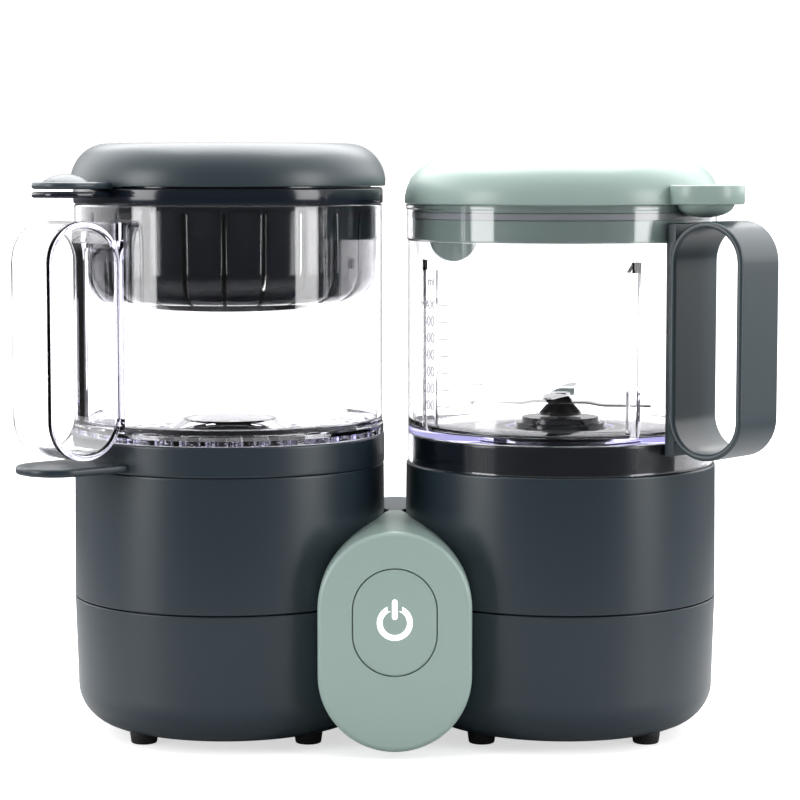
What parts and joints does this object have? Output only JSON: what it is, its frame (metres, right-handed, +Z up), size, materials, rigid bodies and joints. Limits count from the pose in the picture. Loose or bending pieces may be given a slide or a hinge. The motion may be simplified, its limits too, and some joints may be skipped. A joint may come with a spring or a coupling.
{
  "type": "baby food maker",
  "caption": "Countertop baby food maker: a steamer tower and a blender tower with clear vessels, lift-off lids and a shared push-button pod.",
  "frame": {"origin": "on the surface it stands on, under the middle of the whole object's bounding box", "axes": "+Z up, +X towards the blender tower, -Y towards the user and the button"},
  "size_m": [0.3254, 0.1475, 0.2617],
  "materials": {
    "slate_base": "satin",
    "slate_lid": "matte",
    "dark_gloss": "gloss",
    "mint": "satin",
    "clear_plastic": "clear gloss",
    "lamp_white": "lit diffuser",
    "black_rubber": "matte",
    "silicone": "matte",
    "polished_steel": "polished",
    "plated_steel": "zinc plated",
    "screw_steel": "zinc plated",
    "aluminium": "cast",
    "bronze": "sintered",
    "copper_winding": "enamelled wire",
    "black_nylon": "moulded",
    "circuit_board": "solder mask",
    "lead_insulation": "fibreglass sleeve"
  },
  "bodies": {
    "base": {"lower_housing": "slate_base", "upper_housing": "slate_base", "rear_cover": "slate_base", "control_fascia": "mint", "rubber_feet": "black_rubber", "housing_screws": "screw_steel", "boiler_dish": "polished_steel", "boiler_seal": "silicone", "heater_plate": "aluminium", "heating_element": "aluminium", "boiler_thermostat": "black_nylon", "boiler_bracket": "plated_steel", "motor_can": "plated_steel", "motor_end_cap": "plated_steel", "motor_plate": "plated_steel", "motor_dampers": "black_rubber", "motor_screws": "screw_steel", "shaft_bearings": "bronze", "stator_coils": "copper_winding", "control_board": "circuit_board", "push_switch": "black_nylon", "indicator_lamp": "lamp_white", "button_spring": "polished_steel", "board_screws": "screw_steel", "cord_gland": "black_rubber", "terminal_block": "black_nylon", "heater_leads": "lead_insulation", "motor_leads": "lead_insulation"},
    "rotor": {"motor_shaft": "polished_steel", "armature": "plated_steel", "cooling_fan": "black_nylon", "drive_coupling": "black_nylon"},
    "button": {"button_cap": "mint", "button_emblem": "lamp_white"},
    "tray": {"drip_tray": "slate_base"},
    "bowl": {"steam_bowl": "clear_plastic"},
    "basket": {"small_basket": "dark_gloss"},
    "bowl_lid": {"steam_lid": "slate_lid", "steam_lid_skirt": "dark_gloss"},
    "carrier": {"blade_carrier": "dark_gloss", "carrier_gasket": "silicone", "shaft_bush": "bronze", "shaft_seal": "silicone"},
    "blades": {"blade_shaft": "polished_steel", "driven_coupling": "black_nylon", "blade_hub": "polished_steel", "blades_lower": "polished_steel", "blades_upper": "polished_steel", "blade_nut": "polished_steel"},
    "jar": {"blender_jar": "clear_plastic", "jar_handle": "slate_lid"},
    "jar_lid_seal": {"blender_lid_seal": "silicone"},
    "jar_lid": {"blender_lid_cap": "mint", "blender_lid_liner": "mint"}
  },
  "joints": [
    {"name": "motor_spin", "type": "hinge", "parent": "base", "child": "rotor", "pos_m": [0.074, 0.00391, 0.12], "axis": [0, 0, 1], "continuous": true},
    {"name": "button_press", "type": "slide", "parent": "base", "child": "button", "axis": [0, 1, 0], "range_m": [0, 0.0015], "stiffness_N_per_m": 900, "springref_m": -0.0012, "deforming": ["button_spring"]},
    {"name": "tray_lift", "type": "slide", "parent": "base", "child": "tray", "axis": [0, 0, 1], "range_m": [0, 0.06]},
    {"name": "bowl_lift", "type": "slide", "parent": "tray", "child": "bowl", "axis": [0, 0, 1], "range_m": [0, 0.12]},
    {"name": "basket_lift", "type": "slide", "parent": "bowl", "child": "basket", "axis": [0, 0, 1], "range_m": [0, 0.07]},
    {"name": "bowl_lid_lift", "type": "slide", "parent": "basket", "child": "bowl_lid", "axis": [0, 0, 1], "range_m": [0, 0.06]},
    {"name": "jar_lift", "type": "slide", "parent": "base", "child": "carrier", "axis": [0, 0, 1], "range_m": [0, 0.12]},
    {"name": "blade_spin", "type": "hinge", "parent": "carrier", "child": "blades", "pos_m": [0.074, 0.00391, 0.12], "axis": [0, 0, 1], "continuous": true},
    {"name": "jar_twist", "type": "hinge", "parent": "carrier", "child": "jar", "pos_m": [0.074, 0.00391, 0.12], "axis": [0, 0, 1], "range_deg": [0, 25]},
    {"name": "jar_lid_lift", "type": "slide", "parent": "jar", "child": "jar_lid_seal", "axis": [0, 0, 1], "range_m": [0, 0.06]},
    {"name": "jar_lid_twist", "type": "hinge", "parent": "jar_lid_seal", "child": "jar_lid", "pos_m": [0.074, 0.00391, 0.12], "axis": [0, 0, 1], "range_deg": [0, 22]}
  ],
  "couplings": [
    {"joint": "blade_spin", "follows": "motor_spin", "ratio": 1}
  ]
}
